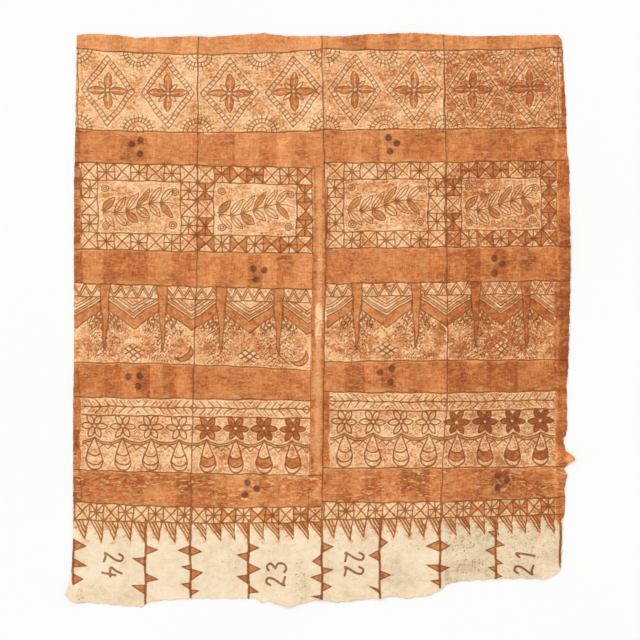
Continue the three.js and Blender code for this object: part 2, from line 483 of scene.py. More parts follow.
def crossed_squares(along, across, pitch, breadth, first, dyed):
    """Line and solid distances of a strip of squares: walls, diagonals, two more rays in every second.

    A share of the squares, picked by a fixed shuffle of their numbers, has two facing quarters dyed.
    """
    cell, a = cells(along, pitch)
    b = across - breadth / 2
    k = breadth / pitch
    crossing = (abs(b) - abs(a) * k) / math.hypot(k, 1)
    rays = only(np.mod(cell + first, 2) < 0.5, np.minimum(abs(a), abs(b)))
    walls = np.minimum(pitch / 2 - abs(a), breadth / 2 - abs(b))
    picked = shuffled(cell * 12.9898 + first * 7.3) < dyed
    inside = abs(b) <= breadth / 2 + 4
    quarters = np.maximum(crossing, -walls) - BLEED
    return only(inside, least(abs(crossing), rays, abs(walls))), only(inside & picked, quarters)


print("squares round a picture:", 2 * round(SECTION / FRAME_SIDE) + 6)

# %% Leafy branch
BOX_WIDE = SECTION - 2 * FRAME_SIDE
BOX_HIGH = FRAME_ROW - 2 * FRAME_STRIP
LEAF_PITCH = 46.0
LEAF_LEAN = (0.64, 0.77)
FRUITS = ((0.09, 0.16), (0.93, 0.2), (0.9, 0.82), (0.1, 0.86))  # shares of the box's width and height


def branch(u, d):
    """A stem with paired leaves and a few round fruits, in a box with its corner at the origin."""
    stem = BOX_HIGH / 2 + 24 * np.sin(u / BOX_WIDE * 5.4 + 0.5)
    off = d - stem
    line = only((u > 10) & (u < BOX_WIDE - 12), abs(off))
    solid = FAR
    station = np.clip(np.floor((u - 12) / LEAF_PITCH), 0, 6)
    for number in (station - 1, station):
        foot = 18 + number * LEAF_PITCH
        along = (u - foot) * LEAF_LEAN[0] + abs(off) * LEAF_LEAN[1]
        aside = abs(off) * LEAF_LEAN[0] - (u - foot) * LEAF_LEAN[1]
        leaf = in_leaf(along - 40, aside, 76, 27)
        allowed = (foot > 0) & (foot < BOX_WIDE - 60)
        rib = only((along > 8) & (along < 66) & (leaf < 0), abs(aside))
        line = least(line, only(allowed, least(abs(leaf), rib)))
        dyed = allowed & (np.mod(number + (off > 0), 3) < 0.5)
        solid = least(solid, only(dyed, np.maximum(leaf, 2.4 - abs(aside))))
    for share, drop in FRUITS:
        fruit = np.hypot(u - share * BOX_WIDE, d - drop * BOX_HIGH)
        line = least(line, abs(fruit - 14), abs(fruit - 6))
    return line, solid


print("the picture's box is", BOX_WIDE, "by", BOX_HIGH, "mm")

# %% Frame row
def past_picture(a, d):
    """Distance past the picture's box, below zero in it, from a section's start and the row's head."""
    return np.maximum(abs(a - SECTION / 2) - BOX_WIDE / 2, abs(d - FRAME_ROW / 2) - BOX_HIGH / 2)


def frame_row(u, d):
    """Line and solid distances of the frame row, and heft: strips of squares, and the branch inside."""
    section = np.clip(np.floor(u / SECTION), 0, 1)
    a = u - section * SECTION
    dyed = np.where(section > 0.5, 0.72, 0.0)
    middle = abs(d - FRAME_ROW / 2) < BOX_HIGH / 2
    line, solid = least(abs(d), abs(d - FRAME_ROW)), FAR
    for first, down in ((1, d), (3, d - FRAME_ROW + FRAME_STRIP)):
        lines, patches = crossed_squares(a, down, FRAME_SIDE, FRAME_STRIP, first, dyed)
        line, solid = least(line, only(~middle, lines)), least(solid, only(~middle, patches))
    for first, across in ((0, a), (2, a - SECTION + FRAME_SIDE)):
        lines, patches = crossed_squares(d - FRAME_STRIP, across, BOX_HIGH / 3, FRAME_SIDE, first, dyed)
        line, solid = least(line, only(middle, lines)), least(solid, only(middle, patches))
    stem, leaves = branch(a - FRAME_SIDE, d - FRAME_STRIP)
    border = past_picture(a, d)
    line = least(line, abs(border), only(border < 0, stem + 0.4))
    return line - 2.4, np.where(border < 0, leaves, solid), np.where(border < 0, 0.6, 0.74)


def picture_rub(u, d):
    """In the second section, less dye on the picture and more on the squares round it."""
    return np.where(past_picture(np.mod(u, SECTION), d) < 0, -0.12, 0.06) * (u > SECTION)


print("frame row, shares under strokes and patches:", inked(frame_row, FRAME_ROW))

# %% [markdown]
# ## The post row
# Tapered posts stand in a row with broad chevrons slung between them, a zigzag above, and a scaly
# growth in the angle of post and chevron. It is one pitch of pattern, mirrored about each post. Below
# each chevron's point hangs a lattice or a crescent, turn by turn.

# %% Growth, lattices and crescents
POST_ROW = 326.0
POST_PITCH = 237.0
POST_FIRST = 95.0
SCALE_HIGH = 15.0  # height of one row of the scaly growth
CRESCENT = ((-37, 272, 39.5), (-58, 245, 52.3))  # the outer and the inner circle: aside, down, radius


def growth(t, below, number):
    """Distance to the growth under a chevron: three rows of leaves, then loose dashes."""
    row, b = cells(below, SCALE_HIGH)
    twig = row < 3
    column, a = cells(t * 1.2 + row * 11, np.where(twig, 22.0, 14.0))
    shuffle = shuffled(column * 12.9898 + row * 78.233 + number * 3.1)
    jolt = np.mod(shuffle * 57.3, 1) - 0.5
    a = a + np.where(twig, 2, 6) * jolt
    b = b + np.where(twig, 0, 6) * (np.mod(shuffle * 91.7, 1) - 0.5)
    lean = np.where(twig, np.where(np.mod(row, 2) < 0.5, 0.5, -0.5), 2 * shuffle - 1)
    across = np.sqrt(1 - lean * lean)
    p, q = a * across + b * lean, b * across - a * lean
    leaf = abs(in_leaf(p, q, 23, 13)) - 0.2
    dash = np.hypot(np.maximum(abs(p) - 6 - 5 * jolt, 0), q + p * p / 60) + 0.1
    grown = (below > 3) & (shuffle * 0.6 + 0.62 > t / 88 + row * 0.045)
    return only(grown, np.where(twig, leaf, dash))


def hung(u, d, t):
    """Distances to the lattices and to the crescents that hang by turns below the chevrons' points."""
    number = np.round((u - POST_FIRST) / POST_PITCH - 0.5)
    even = np.mod(number, 2) < 0.5
    wide, high = 0.85 * (POST_PITCH / 2 - t), 1.15 * (d - 280)
    p, q = abs(wide + high) * DIAGONAL, abs(wide - high) * DIAGONAL
    reach = np.maximum(p, q) - 32
    lattice = only(reach < 1, least(abs(p - 10.7), abs(q - 10.7), abs(reach)) - 0.8)
    side = u - POST_FIRST - (number + 0.5) * POST_PITCH
    outer, inner = (np.hypot(side - cx, d - cy) - radius for cx, cy, radius in CRESCENT)
    return only(even & (number >= 0), lattice), only(~even & (number > 0), np.maximum(outer, -inner))


print("posts in a half:", int(2 * SECTION / POST_PITCH) + 1)

# %% Post row
POST_HALF = 22.0  # at its head
POST_FOOT = 268.0
ZIGZAG = 54.0  # height of the zigzag's strip
ZIGZAG_PITCH = 47.5
CHEVRON_SLOPE = 0.81  # turns a drop down to a chevron into a distance from it


def post_row(u, d):
    """Line and solid distances of the post row, and heft, from the distance to the nearest post."""
    number = np.round((u - POST_FIRST) / POST_PITCH)
    t = abs(u - POST_FIRST - number * POST_PITCH)
    post = np.maximum(t - np.clip(POST_HALF - 19 * d / 265, 3, POST_HALF), d - POST_FOOT)
    share = (t - POST_HALF) / (POST_PITCH / 2 - POST_HALF)
    upper, lower = 72 + 66 * share, 112 + 73 * share
    chevron = np.maximum(np.maximum(upper - d, d - lower) * CHEVRON_SLOPE, 3 - post)
    line = least(abs(post), abs(chevron), only(post > 0, abs(d - ZIGZAG)))
    clear = post > 3
    for drop in (12, 22, 37, 50):
        slung = abs(d - upper + drop) * CHEVRON_SLOPE + 0.2
        line = least(line, only((d > ZIGZAG) & clear, slung))
    tooth = comb(u + 9, ZIGZAG_PITCH) / ZIGZAG_PITCH * 2
    for drop in (0, 15):
        zig = abs(d - (6 + 40 * tooth) - drop + 4) * 0.5 + 0.2
        line = least(line, only((d < ZIGZAG) & clear, zig))
    grown = growth(t, (d - lower) * CHEVRON_SLOPE, number)
    lattice, crescent = hung(u, d, t)
    line = least(line, only(clear & (d < 318), grown), lattice, abs(crescent))
    return line - 2.3, least(post, chevron, crescent), 0.74


def growth_rub(u, d):
    """More dye in the growth: broad round each post's foot, and somewhat more in the second section."""
    from_post = comb(u - POST_FIRST + POST_PITCH / 2, POST_PITCH)
    return np.where(u > SECTION, 0.42, 0.36) * smooth((d - 100) / 90) * bell(from_post, 74)


print("post row, shares under strokes and patches:", inked(post_row, POST_ROW))

# %% [markdown]
# ## The flower row
# Eight six-petalled flowers hang on a swag with a drop under each. The first four are outlined and
# the last four dyed solid, as on the tablet. A leaf-vein strip runs along the top. Turning every
# point into the nearest petal's own direction lets one petal stand for all six.

# %% Flowers, swags and veins
FLOWER_ROW = 307.0
FLOWER_PITCH = 116.0
FLOWER_FIRST = 52.0
FLOWER_DOWN = 120.0
FLOWER_EYE = 8.0
SIXTH = math.pi / 3
SWAG_DOWN = 166.0
VEIN_STRIP = 74.0
VEIN_PITCH = 33.0


def flowers(a, b, number):
    """Distances to a flower's strokes and to its petals, from its middle."""
    angle = np.arctan2(b, a)
    angle = angle - SIXTH * np.round(angle / SIXTH)
    far = np.hypot(a, b)
    along, aside = far * np.cos(angle), far * np.sin(angle)
    petal = in_leaf(along - 30, aside, 46, 23)
    vein = only((along > 16) & (along < 36), abs(aside)) + np.where(number > 3.5, 1.0, 1.7)
    return np.where(far < FLOWER_EYE, abs(far - FLOWER_EYE) + 0.5, least(abs(petal), vein)), petal, far


def swags(between, d):
    """Distance to the ropes from flower to flower, with teeth under the middle of each."""
    below = d - SWAG_DOWN - 19 * (1 - (2 * between - 1) ** 2)
    teeth = abs(below - 11 - 36 * comb(between * 3.4 - 1.7, 1)) * 0.75 + 0.5
    return least(abs(below), abs(below - 9), only((between > 0.2) & (between < 0.8), teeth))


def vein_strip(u, d):
    """Distance to the leaf-vein strip: a midrib with slanting veins that turn at every half section."""
    turn = np.where(np.mod(np.floor(u / (SECTION / 2)), 2) < 0.5, 1.0, -1.0)
    rib = abs(d - VEIN_STRIP / 2)
    return least(rib, only(rib < 29, comb(turn * u + 0.9 * rib, VEIN_PITCH) * 0.74 + 0.7))


print("flowers in a half:", int(2 * SECTION / FLOWER_PITCH) + 1)

# %% Flower row
UPPER_MOON = (214.0, 30.0)  # the two rounds in a drop: how far down, and radius
LOWER_MOON = (246.0, 34.0)


def flower_row(u, d):
    """Line and solid distances of the flower row, and heft: vein strip, flowers, swags, drops."""
    number = np.clip(np.round((u - FLOWER_FIRST) / FLOWER_PITCH), 0, 7)
    a = u - FLOWER_FIRST - number * FLOWER_PITCH
    dyed = number > 3.5
    line, petal, far = flowers(a, d - FLOWER_DOWN, number)
    heft = np.where(petal < 3, np.where(number < 4.5, 0.95, 1.15), 0.66 + 0.12 * (number - 4))
    tuft_at = comb(u - FLOWER_FIRST, FLOWER_PITCH)
    for top in (128, 139):
        line = least(line, only(tuft_at < 15, abs(d - top - tuft_at) * DIAGONAL + 1.3))
    drop = in_drop(a, d - SWAG_DOWN, 135, 32.5)
    rope = swags(np.mod((u - FLOWER_FIRST) / FLOWER_PITCH, 1), d)
    upper, lower = (np.hypot(a, d - down) - radius for down, radius in (UPPER_MOON, LOWER_MOON))
    smile = least(only(d > UPPER_MOON[0], abs(upper)), only(d > LOWER_MOON[0], abs(lower)))
    line = least(line, only(drop > 0, rope), abs(drop), only(drop < 0, smile))
    moon = functools.reduce(np.maximum, (drop, -upper, lower, 211 - d))
    solid = only(dyed, least(np.maximum(petal, 7.5 - far), moon))
    in_strip = (d > 0) & (d < VEIN_STRIP) & (petal > 1.5)
    line = least(np.where(in_strip, vein_strip(u, d), line), abs(d - VEIN_STRIP))
    return line - STROKE, only(~in_strip, solid), heft


print("flower row, shares under strokes and patches:", inked(flower_row, FLOWER_ROW))

# %% [markdown]
# ## The toothed row and the undyed end
# The dyed field ends in a strip of crossed squares with slanting hatched teeth. Below it the cloth is
# bare but for ruled lines set with small solid triangles, and a plain count number in each section.
# The plain bands above carry groups of three dark dabs. All of these are strokes and patches placed
# straight on the cloth, so they need no tablet.

# %% Toothed row
TOOTH_STRIP = 68.0
TOOTH_LONG = 80.0
TOOTH_PITCH = SECTION / 8


def hatched_teeth(u, d):
    """Each point's place in its tooth: how far outside it, how far from its long side, slope, shuffle."""
    cell = np.floor(u / TOOTH_PITCH)
    a = u - cell * TOOTH_PITCH
    b = d - TOOTH_STRIP
    shuffle = shuffled(cell * 12.9898)
    tip = (np.where(u > SECTION, 0.93, 0.68) + 0.14 * shuffle) * TOOTH_PITCH
    down = b / (TOOTH_LONG * (0.9 + 0.14 * shuffle))
    left = (a - 5) - (tip - 5) * down
    right = (TOOTH_PITCH - 2 - a) - (TOOTH_PITCH - 2 - tip) * down
    slant = TOOTH_LONG / np.hypot(TOOTH_LONG, tip)
    return -least(left * slant, right, b), left, slant, shuffle


def tooth_row(u, d):
    """Line and solid distances of the toothed row, and heft: crossed squares, slanting hatched teeth."""
    second = u > SECTION
    strip, quarters = crossed_squares(u, d, TOOTH_PITCH, TOOTH_STRIP, 1, np.where(second, 0.5, 0.0))
    tooth, left, slant, shuffle = hatched_teeth(u, d)
    hatch = least(abs(left - 13), abs(left - 25)) * slant
    below = d > TOOTH_STRIP
    fringe = only(below, least(abs(tooth), only(tooth < 0, hatch)))
    dyed = only(second & (shuffle > 0.42), np.maximum(tooth, 10 - left))
    return least(strip, fringe) - 2.6, np.where(below, dyed, quarters), 0.56


print("toothed row, shares under strokes and patches:", inked(tooth_row, TOOTH_STRIP + TOOTH_LONG))


# %% The undyed end
# Ruled lines: x, start, end, and the triangles on each: middle height, half height at the line,
# reach (left is less than 0), how far the tip lies above the middle.
RULED = [
    (-1012, -910, -1080, [
        (-922, 26, 55, -4), (-994, 19, 57, -14), (-1062, 24, 42, 0),
    ]),
    (-715, -820, -1190, [
        (-942, 20, 52, 0), (-992, 19, -54, 15), (-1057, 19, 53, -6), (-1106, 21, -57, 18),
    ]),
    (-531, -820, -1135, [
        (-944, 21, -52, 0), (-946, 21, 48, -3), (-1015, 12, -38, 4), (-1043, 26, 51, 8),
        (-1091, 14, -39, 10), (-1117, 13, 36, 8),
    ]),
    (-293, -820, -1150, [
        (-934, 19, 44, 0), (-972, 20, -47, 10), (-1020, 23, 50, 0), (-1064, 20, -47, 14),
        (-1102, 17, 43, -14),
    ]),
    (8, -820, -1160, [
        (-931, 22, 47, 2), (-985, 27, -40, -4), (-1027, 15, 47, 4), (-1058, 19, -46, 4),
        (-1092, 20, 40, 0), (-1135, 9, -44, 2),
    ]),
    (245, -820, -1150, [
        (-913, 23, 34, 2), (-965, 24, -45, 0), (-1045, 20, 46, 0), (-1112, 8, -48, 24),
    ]),
    (491, -820, -1095, [
        (-925, 24, -57, -2), (-925, 24, 40, -2), (-1018, 16, -57, 14), (-1018, 15, 40, 4),
        (-1076, 13, -40, 8),
    ]),
    (720, -830, -1070, [
        (-878, 15, -31, 10), (-915, 16, 37, -8), (-947, 20, -43, 4), (-990, 13, 29, -8),
        (-1022, 13, -31, 8), (-1047, 12, 27, -4),
    ]),
    (985, -830, -1010, []),
]


def undyed_end(x, y):
    """Line and solid distances of the ruled lines with their triangles."""
    line = solid = FAR
    for at, start, end, triangles in RULED:
        line = least(line, to_chain(x + wobble(y, x, 1.4), y, [(at, start), (at, end)]) - 1.9)
        for middle, half, reach, tip in triangles:
            corners = [(at, middle + half), (at, middle - half), (at + reach, middle + tip)]
            patch = in_convex(x, y, corners if reach > 0 else corners[::-1])
            solid = least(solid, patch)
            line = least(line, abs(patch + 1) + 0.6)
    return line - STROKE, solid


print("triangles on the undyed end:", sum(len(row[3]) for row in RULED))

# %% Count numbers
# Brush strokes of a few figures in a box one high: each is a list of strokes.
FIGURES = {
    "1": [[(0.12, 0.78), (0.3, 0.98), (0.31, 0.55), (0.28, 0.02)]],
    "2": [[(0.02, 0.76), (0.14, 0.97), (0.36, 0.9), (0.33, 0.6), (0.04, 0.06), (0.2, 0.09), (0.48, 0.03)]],
    "3": [
        [(0.04, 0.9), (0.26, 1.0), (0.39, 0.8), (0.16, 0.56)],
        [(0.16, 0.56), (0.43, 0.42), (0.4, 0.12), (0.18, 0.0), (0.0, 0.1)],
    ],
    "4": [
        [(0.28, 1.0), (0.18, 0.7), (0.02, 0.42), (0.26, 0.4), (0.5, 0.44)],
        [(0.4, 0.7), (0.37, 0.35), (0.34, 0.0)],
    ],
}
FIGURE_HIGH = 80.0
BRUSH = 4.5
# Columns: number, middle x, middle y, turn in degrees.
COUNTS = [("24", -849, -1003, -96), ("23", -180, -1041, 86), ("22", 140, -1000, -92), ("21", 838, -994, 84)]


def curved(points, steps=5):
    """A chain bent smoothly through the points: between two, a cubic whose slopes follow the neighbours."""
    spots = np.array([points[0], *points, points[-1]])
    t = np.linspace(0, 1, steps, endpoint=False)[None, :, None]
    a, b, c, d = (spots[i : len(spots) - 3 + i, None, :] for i in range(4))
    bent = b + t / 2 * (c - a + t * (2 * a - 5 * b + 4 * c - d + t * (3 * (b - c) + d - a)))
    return [tuple(spot) for spot in bent.reshape(-1, 2)] + [tuple(points[-1])]


def counts(x, y):
    """Distance to the brushed count numbers: their strokes, turned to lie along the cloth's end."""
    away = FAR
    for number, cx, cy, turn in COUNTS:
        a, b = turned(x, y, cx, cy, math.radians(turn))
        for place, figure in enumerate(number):
            left = (place - 1) * 0.72 + 0.12
            for stroke in FIGURES[figure]:
                points = [(FIGURE_HIGH * (left + p), FIGURE_HIGH * (q - 0.5)) for p, q in stroke]
                away = least(away, to_chain(a, b, curved(points)))
    return away - BRUSH


print("numbers:", [row[0] for row in COUNTS])

# %% Dabs
# Columns: x and y of the three dabs of each group, in millimetres.
DABS = [
    (-771, 721, -736, 736, -737, 681), (281, 747, 315, 724, 287, 692),
    (-273, 212, -228, 204, -262, 165), (715, 252, 748, 232, 715, 191),
    (-786, -232, -739, -229, -744, -271), (246, -214, 294, -200, 288, -255),
    (-298, -667, -260, -691, -308, -716), (730, -638, 765, -656, 728, -687),
]
DAB = 14.6


def dabs(x, y):
    """Distance to the groups of three round dabs, each a little out of round."""
    away = FAR
    for group in DABS:
        for cx, cy in zip(group[0::2], group[1::2]):
            out = DAB * (1 + 0.05 * np.sin(2 * np.arctan2(y - cy, x - cx) + cx))
            away = least(away, np.hypot(x - cx, y - cy) - out)
    return away


print("dabs:", 3 * len(DABS))

# %% [markdown]
# ## Laying the drawing on the cloth
# Each row is drawn only for the points that lie in it. Besides the strokes and solid patches, a point
# needs to know how deep it lies in a plain dyed band, whether it is in the undyed end, and how hard
# the dye was rubbed there, which differs from section to section.

# %% Rows and bands
# Columns: name, height between its two rules, what draws it, how far down it reaches.
ROWS = [
    ("leaf", LEAF_ROW, leaf_row, LEAF_ROW),
    ("frame", FRAME_ROW, frame_row, FRAME_ROW),
    ("post", POST_ROW, post_row, POST_ROW),
    ("flower", FLOWER_ROW, flower_row, FLOWER_ROW),
    ("tooth", TOOTH_STRIP, tooth_row, TOOTH_STRIP + TOOTH_LONG + 8),
]
# How hard the dye was rubbed in, 0 to 1, in the sections from left to right. Each row takes a share
# of that and a little more or less.
SECTION_RUB = np.array([0.25, 0.36, 0.4, 0.84])
ROW_RUB = {
    "leaf": (1.0, -0.04), "frame": (0.85, 0.075), "post": (0.68, 0.11),
    "flower": (0.36, 0.19), "tooth": (0.3, 0.1),
}
SOLID_RUB = (0.46, 0.72)  # a solid patch's dye: so much, and this share of the section's rubbing more
UNEVEN_RUB = {"frame": picture_rub, "post": growth_rub}
# How heavily the plain bands were brushed in the sections, and how much more with each band down.
SECTION_COAT = np.array([0.49, 0.36, 0.45, 0.67])
BAND_COAT = 0.075
# How soiled the sections are towards the undyed end.
SECTION_SOIL = np.array([0.1, 0.12, 0.22, 0.5])
BANDS = [
    ("leaf foot", "frame head"), ("frame foot", "post head"),
    ("post foot", "flower head"), ("flower foot", "tooth head"),
]
SECTION_ENDS = (-515.0, 14.0, 510.0)
# The dark lines along the folds between sections: x and y down the cloth.
SECTION_LINES = [
    [(-499, 1180), (-503, 244), (-517, -178), (-531, -830)],
    [(6, 1180), (20, 572), (25, 244), (18, -43), (12, -576), (6, -830)],
    [(506, 1180), (517, 654), (521, 141), (523, -285), (502, -605), (494, -830)],
]
TEETH = 18.0  # between the teeth the dye fades out this far below the last strip


def strokes(x, band):
    """Uneven brushing of a plain band: upright strokes of uneven breadth, each its own heaviness."""
    place = x / 88 + 1.2 * np.sin(x / 171 + 2 * band)
    number = np.floor(place)
    past = place - number - 0.93
    one, two = (np.sin(78.2 * (number + next_one) + 4.1 * band) for next_one in (0, 1))
    pooled = 0.9 * bell(past, 0.05) * (np.mod(number, 3) < 0.5)
    return one + (two - one) * smooth(past / 0.07) + pooled


print("rows:", len(ROWS), "and bands:", len(BANDS))

# %% Patches, wiped places and spills
# Handled patches of the undyed end: middle x, middle y, half breadth, half height, how soiled.
STAINS = [
    (-75, -1060, 40, 80, 0.12), (560, -925, 75, 45, 0.3), (600, -1000, 60, 40, 0.3),
    (-350, -1000, 60, 35, 0.2), (890, -930, 60, 90, 0.2), (-985, -1130, 30, 30, 0.3),
    (250, -1010, 230, 120, 0.1), (740, -960, 200, 120, 0.12),
]
# Dashes spilled from the brush: middle x, middle y, half breadth, half height, how many.
SPILLS = [
    (-84, -1070, 24, 88, 15), (566, -920, 70, 40, 16), (610, -1010, 60, 34, 9), (-985, -1126, 15, 24, 8),
    (-352, -985, 60, 50, 7), (870, -905, 60, 40, 7), (-890, -1105, 20, 20, 3), (330, -930, 90, 20, 6),
]
# Places rubbed more or less than the rest, and one painted highlight: middle x, middle y, half breadth,
# half height, how much more.
RUBBED_AND_HIGHLIGHT = [
    (-922, -82, 70, 65, 0.32), (-287, -103, 80, 55, 0.2), (902, 115, 75, 45, 0.3),
    # The patch at x 1022 is a painted highlight on the tip of the lifted spur; the next one darkens its
    # base.
    (33, 400, 13, 125, 0.7), (-22, -785, 34, 50, 0.6), (1022, -571, 18, 16, -0.6),
    (990, -592, 26, 15, 0.4), (185, 33, 45, 75, -0.3), (369, 0, 75, 85, -0.28),
    (-780, 758, 90, 22, -0.25), (265, 945, 260, 190, 0.09), (-750, 465, 260, 190, 0.05),
    (740, 0, 230, 160, 0.07), (497, -40, 20, 40, 0.4), (484, -95, 20, 32, 0.4), (452, -136, 34, 15, 0.35),
]
# Places where the print was wiped away: middle x, middle y, half breadth, half height.
WIPED = [(925, -109, 47, 45), (484, -111, 46, 45)]
STRIP = 54.0  # breadth of the brushed strip left of the middle line, where the two printings meet
STRIP_END = -850.0
STRIP_RULED = -560.0  # below this height the rows' rules run on across the strip
STRIP_PALE = (24.0, 17.0)  # how far left of the middle line its paler side lies, and half its breadth
# Columns: height, how heavily that strip was brushed there, how much paler its inner side is.
STRIP_RUB = np.array([
    (-850, 0.72, 0.0), (-560, 0.66, 0.36), (-300, 0.63, 0.38), (-100, 0.82, 0.4), (-30, 0.72, 0.7),
    (45, 0.72, 0.65), (75, 0.75, 0.4), (640, 0.75, 0.38),
])
# The brushed gutter beside the flowers: how far right of the middle line, height, and both halves.
GUTTER = (12.0, -465.0, 13.0, 170.0)
MARGINS = (-984.0, 962.0)  # where the rows end on the left and on the right, but for slow waves
FIELD_HEAD = 1100.0  # the margins start here, under the top strip
END_HEAD = -790.0  # the undyed end is drawn below this height
PAINTED = 6.0  # a band or a row is worked out this far past its edge


def spilled(x, y):
    """Distance to small dashes: each patch's dashes sit on a spiral by the golden angle."""
    away = FAR
    for cx, cy, breadth, height, count in SPILLS:
        for k in range(count):
            out, around = math.sqrt((k + 0.5) / count), 2.4 * k
            at = cx + breadth * out * math.cos(around), cy + height * out * math.sin(around)
            lean, half = 1.3 * math.sin(2 * k + cx), 2 + 6 * math.sin(3 * k) ** 2
            to = at[0] + half * math.cos(lean), at[1] + half * math.sin(lean)
            away = least(away, to_chain(x, y, [at, to]))
    return away - 1.5


print("soft patches:", len(RUBBED_AND_HIGHLIGHT) + len(STAINS), "and spilled dashes:", sum(row[4] for row in SPILLS))

# %% [markdown]
# The layers are laid in the order of the work: bands, the strip between the printings, margins, the
# printed rows, then the lines ruled along the folds and what was brushed on the undyed end. All of
# them travel together as one bundle of arrays, and each step below changes some of them.

# %% Brushing
def halves(at):
    """Each half's number and the mask of its points, left and right of the middle line."""
    return enumerate((at.x < at.seam, at.x >= at.seam))


def brush_bands(at):
    """The top strip and the plain bands, stroke by stroke, and where the dyed field ends."""
    tongues = 14 * np.sin(at.x / 57 + 1) * np.sin(at.x / 23) + 6 * np.sin(at.x / 9)
    coats = [np.where(at.x < at.seam, 0.08, 0.36) + 0.16 * strokes(at.x, 5)]
    for number in range(len(BANDS)):
        coats.append(SECTION_COAT[at.section] + BAND_COAT * number + 0.17 * strokes(at.x, number))
    for half, here in halves(at):
        bands = [row_line("leaf head", half, at.x) - at.y]
        for foot, head in BANDS:
            bands.append(np.maximum(row_line(head, half, at.x) - at.y, at.y - row_line(foot, half, at.x)))
        at.wash = np.where(here, least(*bands), at.wash)
        for band, coat in zip(bands, coats):
            at.rub = np.where(here & (band < PAINTED), coat, at.rub)
        end = at.y - row_line("tooth foot", half, at.x) + TEETH + tongues
        at.bare = np.where(here, end, at.bare)


def brush_strip(at):
    """The thinly brushed strip where the two printings meet, and the gutter on its other side."""
    heights, heavy, pale = STRIP_RUB.T
    middle, breadth = STRIP_PALE
    paler = np.interp(at.y, heights, pale) * np.exp(-(((at.between - middle) / breadth) ** 4))
    at.wash = np.where(at.in_strip, 34 * paler - 13, at.wash)
    at.rub = np.where(at.in_strip, np.interp(at.y, heights, heavy) - paler, at.rub)
    right_of, height, half_wide, half_high = GUTTER
    aside = abs(at.between + right_of) - half_wide - 2 * wobble(at.y, at.x, 1.9)
    gutter = np.maximum(aside, abs(at.y - height) - half_high)
    at.wash = least(at.wash, gutter)
    at.rub = np.where(gutter < 3, 0.8, at.rub)


def brush_margins(at):
    """The dyed margins beyond the rows' ends, left and right."""
    unsteady = wobble(at.y, at.x, 3.0)
    at.left = MARGINS[0] + 8 * np.sin(at.y / 190) + 16 * bell(at.y + 370, 70) + unsteady
    right = MARGINS[1] + 6 * np.sin(at.y / 230 + 1) + unsteady
    margins = least(at.x - at.left, right - at.x)
    inside = (margins < 4) & (at.dyed < 40) & (at.y < FIELD_HEAD)
    at.wash = least(at.wash, np.maximum(margins, at.dyed - 12))
    right_rub = 0.95 + 0.2 * np.cos((at.y + 20) / 190) - 0.45 * bell(at.x - right - 9, 7)
    rub = np.where(at.x > 0, right_rub, 0.8) + 0.2 * np.sin(at.y / 43 + np.sin(at.y / 17))
    at.rub = np.where(inside, rub, at.rub)


print("brushed strip is", STRIP, "mm broad, its gutter", 2 * GUTTER[2])

# %% Printing and marking
def print_row(at, half, here, row):
    """One printed row in one half: its strokes and patches, its ground, and the rules along it."""
    name, height, draw, deep = row
    u, d, on_tablet = in_row(name, height, half, at.x, at.y)
    inside = here & (d > -PAINTED) & (d < deep + PAINTED)
    printed = inside & on_tablet
    line, solid, heft = draw(u[printed], d[printed])
    at.line[printed] = least(at.line[printed], line)
    at.solid[printed] = least(at.solid[printed], solid)
    at.wash[printed & (d > 0) & (d < deep)] = FAR
    rubbed = SECTION_RUB[at.section]
    ground = printed & (d > 0) & (d < height)
    share, more = ROW_RUB[name]
    at.rub[ground] = share * rubbed[ground] + more
    if name in UNEVEN_RUB:
        at.rub[ground] += UNEVEN_RUB[name](u[ground], d[ground])
    below = printed & (d > height)
    at.rub[below] = 0.4 * rubbed[below]
    if name == "tooth":
        tooth = hatched_teeth(u[below], d[below])[0]
        at.bare[below] = np.maximum(at.bare[below], 5 - tooth)
        at.rub[below] += 0.12
    tint = heft * (SOLID_RUB[0] + SOLID_RUB[1] * rubbed[printed])
    at.rub[printed] = np.where(solid < 1, tint, at.rub[printed])
    ruled = inside & ~(at.in_strip & (at.y > STRIP_RULED))
    at.line[ruled] = least(at.line, abs(d) - STROKE, abs(d - height) - STROKE)[ruled]


def rule_lines(at):
    """The lines along the folds, along the left margin and beside the brushed strip."""
    hem = only((at.wash < 5) & (at.y < FIELD_HEAD), abs(at.x - at.left))
    edges = least(only(at.y < at.strip_head, abs(at.between - STRIP)), hem) - 1.3
    for chain in SECTION_LINES:
        edges = least(edges, to_chain(at.x + wobble(at.y, at.x, 1.2), at.y, chain) - 2.4)
    at.line = least(at.line, np.maximum(edges, at.dyed))


def mark_end(at):
    """The undyed end: ruled lines, triangles, counts and spilled dashes, and how soiled it is."""
    end = at.y < END_HEAD
    x, y = at.x[end], at.y[end]
    line, solid = undyed_end(x, y)
    at.line[end] = least(at.line[end], line, counts(x, y), spilled(x, y))
    at.solid[end] = least(at.solid[end], solid)
    soil = np.where(solid < 1, 0.72, patched(SECTION_SOIL[at.section[end]], x, y, STAINS))
    at.rub[end] = np.where((solid < 1) | (at.bare[end] < 0), soil, at.rub[end])


print("printed rows:", [row[0] for row in ROWS])

# %% Paint for any set of points
LAYERS = ("line", "solid", "wash", "bare", "dab", "rub", "soil")


